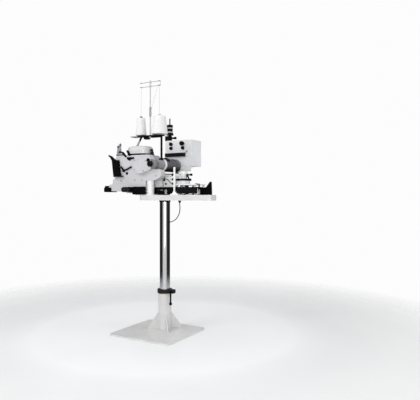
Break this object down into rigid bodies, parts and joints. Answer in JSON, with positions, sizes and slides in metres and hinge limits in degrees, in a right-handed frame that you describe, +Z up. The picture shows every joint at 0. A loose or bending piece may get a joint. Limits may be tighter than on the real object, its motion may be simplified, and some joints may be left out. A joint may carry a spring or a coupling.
{
  "type": "bag closer sewing machine",
  "caption": "Sewing head that closes bag mouths, with belt in-feed, motor, thread cones on a guide stand and control box, on a table that slides up and down a chrome column.",
  "frame": {"origin": "on the floor, under the axis of the lift column", "axes": "+Z up along the column, +X against the travel of the bags, +Y away from the operator"},
  "size_m": [1.03, 0.66, 2.099],
  "materials": {
    "white_paint": "semi-gloss",
    "grey_cast": "satin hammered",
    "cover_paint": "semi-gloss",
    "pale_paint": "satin",
    "dark_alloy": "satin",
    "dark_paint": "satin",
    "black_paint": "satin",
    "chrome": "polished",
    "steel": "machined",
    "bronze": "machined",
    "black_plastic": "matte",
    "black_rubber": "matte",
    "yarn": "wound"
  },
  "bodies": {
    "base": {"base_plate": "white_paint", "base_tube": "white_paint", "guide_bush": "bronze", "clamp_collar": "dark_paint"},
    "lift": {"lift_column": "chrome", "table": "white_paint", "front_bar": "white_paint", "front_supports": "white_paint", "cable_fittings": "black_plastic", "cable": "black_rubber", "head_frame": "grey_cast", "top_cover": "cover_paint", "head_screws": "black_paint", "belt_guard": "grey_cast", "throat_plate": "steel", "needle_housing": "black_paint", "thread_guides": "steel", "cutter_body": "black_paint", "drive_belt": "black_rubber", "motor_bracket": "pale_paint", "motor_body": "dark_alloy", "clutch_housing": "dark_alloy", "stand_post": "black_paint", "thread_plate": "dark_paint", "thread_pole": "steel", "spool_rests": "black_plastic", "small_cone": "yarn", "big_cone": "yarn", "thread_a": "yarn", "thread_b": "yarn", "guide_rails": "black_paint", "infeed_frame": "pale_paint", "infeed_motor": "pale_paint", "rear_belt": "black_rubber", "control_box": "pale_paint", "box_mast": "pale_paint", "regulator": "black_plastic"},
    "clamp_lever_body": {"clamp_lever": "black_paint"},
    "main_shaft_body": {"main_shaft": "steel"},
    "motor_shaft_body": {"motor_shaft": "black_plastic"},
    "needle_bar_body": {"needle_bar": "steel"},
    "looper_body": {"looper": "steel"},
    "presser_foot_body": {"presser_foot": "steel"},
    "presser_lever_body": {"presser_lever": "black_paint"},
    "needle_cover_body": {"needle_cover": "black_paint"},
    "tension_nut_a_body": {"tension_nut_a": "black_plastic"},
    "tension_nut_b_body": {"tension_nut_b": "black_plastic"},
    "cutter_knife_body": {"cutter_knife": "steel"},
    "rear_drive_body": {"rear_drive": "steel"},
    "rear_idler_body": {"rear_idler": "steel"},
    "front_drive_body": {"front_drive": "steel"},
    "front_idler_body": {"front_idler": "steel"},
    "box_door_body": {"box_door": "pale_paint"},
    "selector_body": {"selector": "black_plastic"},
    "button_a_body": {"button_a": "black_plastic"},
    "button_b_body": {"button_b": "black_plastic"},
    "stop_button_body": {"stop_button": "black_plastic"},
    "regulator_knob_body": {"regulator_knob": "black_plastic"},
    "front_frame_body": {"front_frame": "black_paint", "front_belt": "black_rubber"}
  },
  "joints": [
    {"name": "column_lift", "type": "slide", "parent": "base", "child": "lift", "axis": [0, 0, 1], "range_m": [-0.09, 0.12]},
    {"name": "clamp_turn", "type": "hinge", "parent": "base", "child": "clamp_lever_body", "pos_m": [0.083, 0, 0.34], "axis": [0, -1, 0], "range_deg": [0, 100]},
    {"name": "main_shaft_spin", "type": "hinge", "parent": "lift", "child": "main_shaft_body", "pos_m": [0.055, -0.41, 1.4], "axis": [0, 1, 0], "continuous": true},
    {"name": "motor_spin", "type": "hinge", "parent": "lift", "child": "motor_shaft_body", "pos_m": [0.175, -0.41, 1.412], "axis": [0, 1, 0], "continuous": true},
    {"name": "needle_stroke", "type": "slide", "parent": "lift", "child": "needle_bar_body", "axis": [0, 1, 0], "range_m": [0, 0.03]},
    {"name": "looper_swing", "type": "hinge", "parent": "lift", "child": "looper_body", "pos_m": [-0.085, -0.29, 1.22], "axis": [0, 0, 1], "range_deg": [-15.5, 0.5]},
    {"name": "presser_lift", "type": "slide", "parent": "lift", "child": "presser_foot_body", "axis": [0, 1, 0], "range_m": [-0.01, 0], "stiffness_N_per_m": 900, "springref_m": 0.006},
    {"name": "presser_lever_turn", "type": "hinge", "parent": "lift", "child": "presser_lever_body", "pos_m": [-0.121, -0.407, 1.367], "axis": [0, 1, 0], "range_deg": [-0.5, 40.5]},
    {"name": "needle_cover_hinge", "type": "hinge", "parent": "lift", "child": "needle_cover_body", "pos_m": [-0.214, -0.4044, 1.386], "axis": [0, 0, -1], "range_deg": [0, 100]},
    {"name": "tension_a_turn", "type": "hinge", "parent": "lift", "child": "tension_nut_a_body", "pos_m": [-0.194, -0.388, 1.565], "axis": [0, 0, 1], "continuous": true},
    {"name": "tension_b_turn", "type": "hinge", "parent": "lift", "child": "tension_nut_b_body", "pos_m": [-0.172, -0.388, 1.58], "axis": [0, 0, 1], "continuous": true},
    {"name": "cutter_stroke", "type": "slide", "parent": "lift", "child": "cutter_knife_body", "axis": [0, 1, 0], "range_m": [0, 0.022], "stiffness_N_per_m": 400, "springref_m": -0.004},
    {"name": "front_swing", "type": "hinge", "parent": "lift", "child": "front_frame_body", "pos_m": [0.388, -0.361, 1.249], "axis": [0, 0, -1], "range_deg": [0, 1.5], "stiffness_Nm_per_rad": 60, "springref_deg": -2.86},
    {"name": "rear_drive_spin", "type": "hinge", "parent": "lift", "child": "rear_drive_body", "pos_m": [0.388, -0.3, 1.206], "axis": [0, 0, 1], "continuous": true},
    {"name": "rear_idler_spin", "type": "hinge", "parent": "lift", "child": "rear_idler_body", "pos_m": [0.53, -0.3, 1.206], "axis": [0, 0, 1], "continuous": true},
    {"name": "front_drive_spin", "type": "hinge", "parent": "lift", "child": "front_drive_body", "pos_m": [0.388, -0.361, 1.206], "axis": [0, 0, 1], "continuous": true},
    {"name": "front_idler_spin", "type": "hinge", "parent": "front_frame_body", "child": "front_idler_body", "pos_m": [0.53, -0.361, 1.206], "axis": [0, 0, 1], "continuous": true},
    {"name": "door_hinge", "type": "hinge", "parent": "lift", "child": "box_door_body", "pos_m": [0.267, 0.009, 1.53], "axis": [0, 0, 1], "range_deg": [0, 110]},
    {"name": "selector_turn", "type": "hinge", "parent": "box_door_body", "child": "selector_body", "pos_m": [0.063, 0, 1.609], "axis": [0, 1, 0], "range_deg": [-45, 45]},
    {"name": "button_a_press", "type": "slide", "parent": "box_door_body", "child": "button_a_body", "axis": [0, 1, 0], "range_m": [0, 0.003], "stiffness_N_per_m": 700, "springref_m": -0.002},
    {"name": "button_b_press", "type": "slide", "parent": "box_door_body", "child": "button_b_body", "axis": [0, 1, 0], "range_m": [0, 0.003], "stiffness_N_per_m": 700, "springref_m": -0.002},
    {"name": "stop_press", "type": "slide", "parent": "box_door_body", "child": "stop_button_body", "axis": [0, 1, 0], "range_m": [0, 0.0035], "stiffness_N_per_m": 900, "springref_m": -0.002},
    {"name": "regulator_turn", "type": "hinge", "parent": "lift", "child": "regulator_knob_body", "pos_m": [0.032, 0.03, 1.741], "axis": [0, 0, 1], "range_deg": [-270, 270]}
  ],
  "couplings": [
    {"joint": "motor_spin", "follows": "main_shaft_spin", "ratio": 1.8462},
    {"joint": "looper_swing", "follows": "needle_stroke", "rad_per_m": -8.7266},
    {"joint": "presser_lever_turn", "follows": "presser_lift", "rad_per_m": -69.813},
    {"joint": "rear_idler_spin", "follows": "rear_drive_spin", "ratio": 1},
    {"joint": "front_drive_spin", "follows": "rear_drive_spin", "ratio": -1},
    {"joint": "front_idler_spin", "follows": "rear_drive_spin", "ratio": -1}
  ]
}
